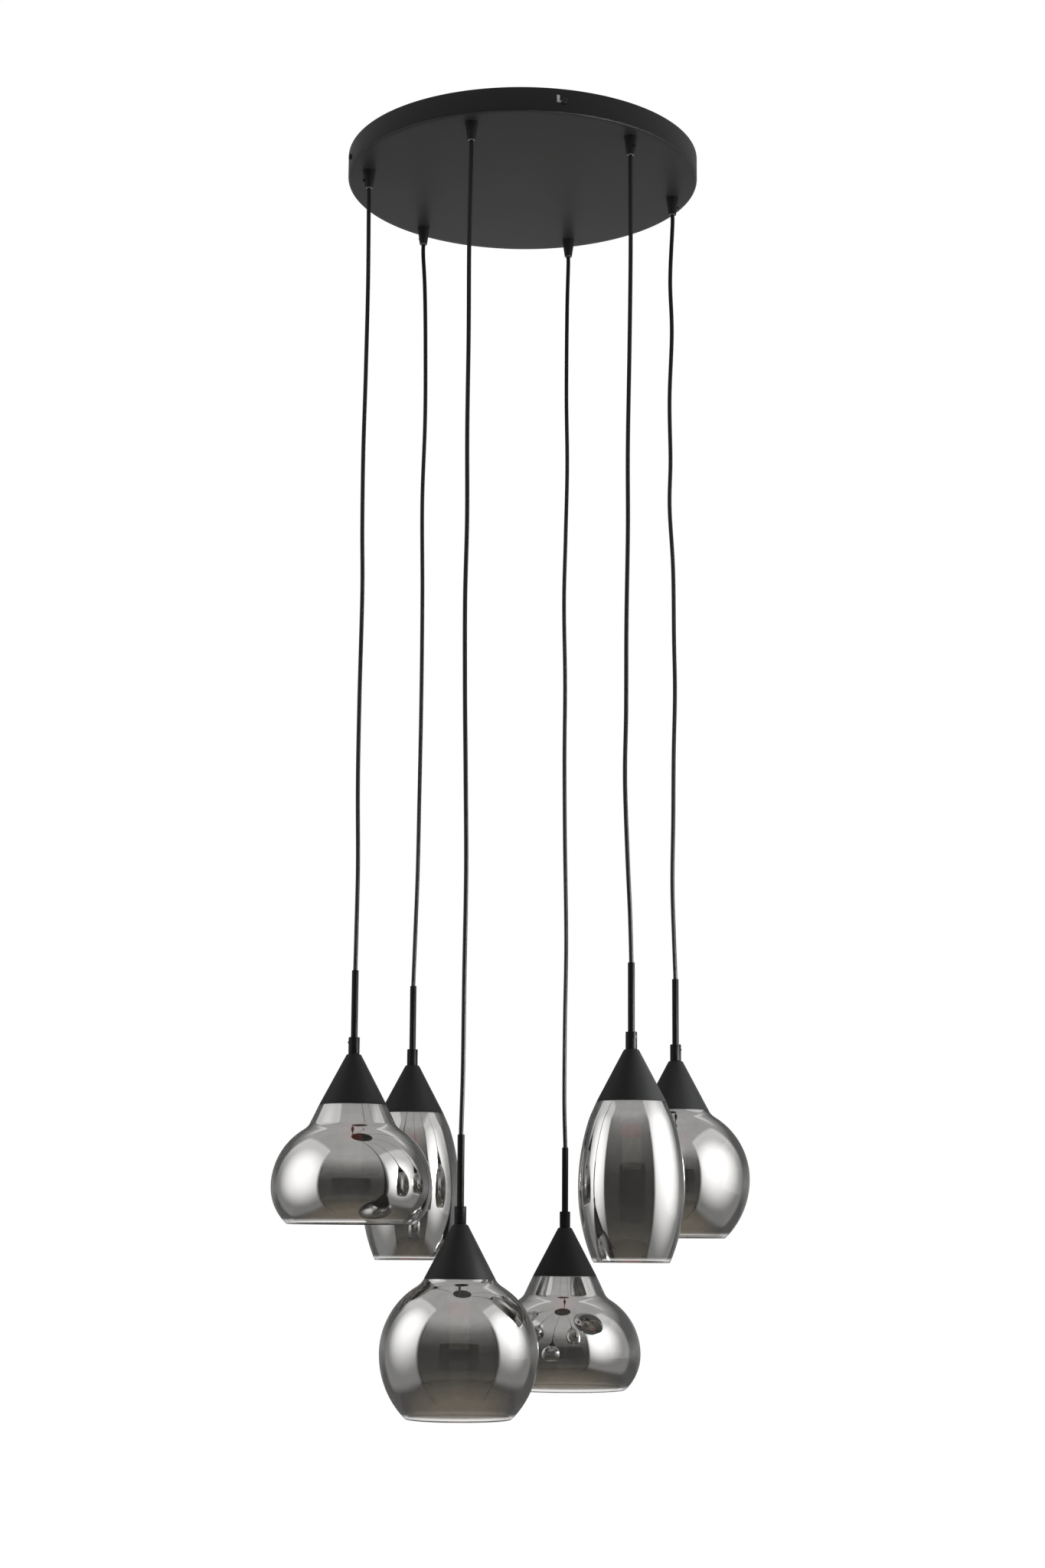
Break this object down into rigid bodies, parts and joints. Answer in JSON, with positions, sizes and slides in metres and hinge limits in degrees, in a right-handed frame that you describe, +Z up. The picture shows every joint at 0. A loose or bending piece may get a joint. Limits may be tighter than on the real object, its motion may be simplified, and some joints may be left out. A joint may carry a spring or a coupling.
{
  "type": "glass pendant light",
  "caption": "Cluster pendant light: smoked glass shades of several shapes hang on black cords, thin rods and metal cone caps from a round ceiling plate.",
  "frame": {"origin": "middle of the circle of ceiling screws, on the bracket's top face, which lies on the ceiling", "axes": "+Z up, out of the ceiling mount; +X to the right and -Y towards the viewer of the picture"},
  "size_m": [0.6422, 0.6302, 1.75],
  "materials": {
    "black_metal": "matt black powder coat",
    "black_screw": "black oxide",
    "black_plastic": "fine matt",
    "black_cord": "smooth sheath",
    "ivory_plastic": "matt",
    "zinc_steel": "zinc plated",
    "brass": "bright",
    "smoked_glass": "smoked, mirror coated",
    "bulb_plastic": "clear cover over LEDs"
  },
  "bodies": {
    "bracket": {"mounting_bracket": "zinc_steel", "side_screws": "black_screw", "terminal_block": "ivory_plastic", "earth_screw": "brass"},
    "plate": {"ceiling_plate": "black_metal", "cord_grips": "black_plastic", "grip_collars": "ivory_plastic", "grip_screws": "black_plastic", "grip_nuts": "zinc_steel", "cord_tails": "black_cord"},
    "pendant_1": {"cord_1": "black_cord", "rod_1": "black_metal", "coupling_1": "black_metal", "cone_cap_1": "black_metal", "lampholder_1": "black_plastic", "shade_rings_1": "black_plastic", "glass_1": "smoked_glass"},
    "led_bulb_1": {"bulb_1": "bulb_plastic"},
    "pendant_2": {"cord_2": "black_cord", "rod_2": "black_metal", "coupling_2": "black_metal", "cone_cap_2": "black_metal", "lampholder_2": "black_plastic", "shade_rings_2": "black_plastic", "glass_2": "smoked_glass"},
    "led_bulb_2": {"bulb_2": "bulb_plastic"},
    "pendant_3": {"cord_3": "black_cord", "rod_3": "black_metal", "coupling_3": "black_metal", "cone_cap_3": "black_metal", "lampholder_3": "black_plastic", "shade_rings_3": "black_plastic", "glass_3": "smoked_glass"},
    "led_bulb_3": {"bulb_3": "bulb_plastic"},
    "pendant_4": {"cord_4": "black_cord", "rod_4": "black_metal", "coupling_4": "black_metal", "cone_cap_4": "black_metal", "lampholder_4": "black_plastic", "shade_rings_4": "black_plastic", "glass_4": "smoked_glass"},
    "led_bulb_4": {"bulb_4": "bulb_plastic"},
    "pendant_5": {"cord_5": "black_cord", "rod_5": "black_metal", "coupling_5": "black_metal", "cone_cap_5": "black_metal", "lampholder_5": "black_plastic", "shade_rings_5": "black_plastic", "glass_5": "smoked_glass"},
    "led_bulb_5": {"bulb_5": "bulb_plastic"},
    "pendant_6": {"cord_6": "black_cord", "rod_6": "black_metal", "coupling_6": "black_metal", "cone_cap_6": "black_metal", "lampholder_6": "black_plastic", "shade_rings_6": "black_plastic", "glass_6": "smoked_glass"},
    "led_bulb_6": {"bulb_6": "bulb_plastic"}
  },
  "joints": [
    {"name": "plate_turn", "type": "hinge", "parent": "bracket", "child": "plate", "pos_m": [0, 0, -0.0177], "axis": [0, 0, 1], "range_deg": [0, 1.8]},
    {"name": "pendant_1_swing", "type": "hinge", "parent": "plate", "child": "pendant_1", "pos_m": [-0.21764, -0.04626, -0.0605], "axis": [-0.2079, 0.9781, 0], "range_deg": [-1.5, 15]},
    {"name": "bulb_1_out", "type": "slide", "parent": "pendant_1", "child": "led_bulb_1", "axis": [0, 0, -1], "range_m": [0, 0.02]},
    {"name": "pendant_2_swing", "type": "hinge", "parent": "plate", "child": "pendant_2", "pos_m": [-0.06876, -0.21161, -0.0605], "axis": [-0.9511, 0.309, 0], "range_deg": [-1.5, 15]},
    {"name": "bulb_2_out", "type": "slide", "parent": "pendant_2", "child": "led_bulb_2", "axis": [0, 0, -1], "range_m": [0, 0.02]},
    {"name": "pendant_3_swing", "type": "hinge", "parent": "plate", "child": "pendant_3", "pos_m": [0.14888, -0.16535, -0.0605], "axis": [-0.7431, -0.6691, 0], "range_deg": [-1.5, 15]},
    {"name": "bulb_3_out", "type": "slide", "parent": "pendant_3", "child": "led_bulb_3", "axis": [0, 0, -1], "range_m": [0, 0.02]},
    {"name": "pendant_4_swing", "type": "hinge", "parent": "plate", "child": "pendant_4", "pos_m": [0.21764, 0.04626, -0.0605], "axis": [0.2079, -0.9781, 0], "range_deg": [-1.5, 15]},
    {"name": "bulb_4_out", "type": "slide", "parent": "pendant_4", "child": "led_bulb_4", "axis": [0, 0, -1], "range_m": [0, 0.02]},
    {"name": "pendant_5_swing", "type": "hinge", "parent": "plate", "child": "pendant_5", "pos_m": [0.06876, 0.21161, -0.0605], "axis": [0.9511, -0.309, 0], "range_deg": [-1.5, 15]},
    {"name": "bulb_5_out", "type": "slide", "parent": "pendant_5", "child": "led_bulb_5", "axis": [0, 0, -1], "range_m": [0, 0.02]},
    {"name": "pendant_6_swing", "type": "hinge", "parent": "plate", "child": "pendant_6", "pos_m": [-0.14888, 0.16535, -0.0605], "axis": [0.7431, 0.6691, 0], "range_deg": [-1.5, 15]},
    {"name": "bulb_6_out", "type": "slide", "parent": "pendant_6", "child": "led_bulb_6", "axis": [0, 0, -1], "range_m": [0, 0.02]}
  ]
}
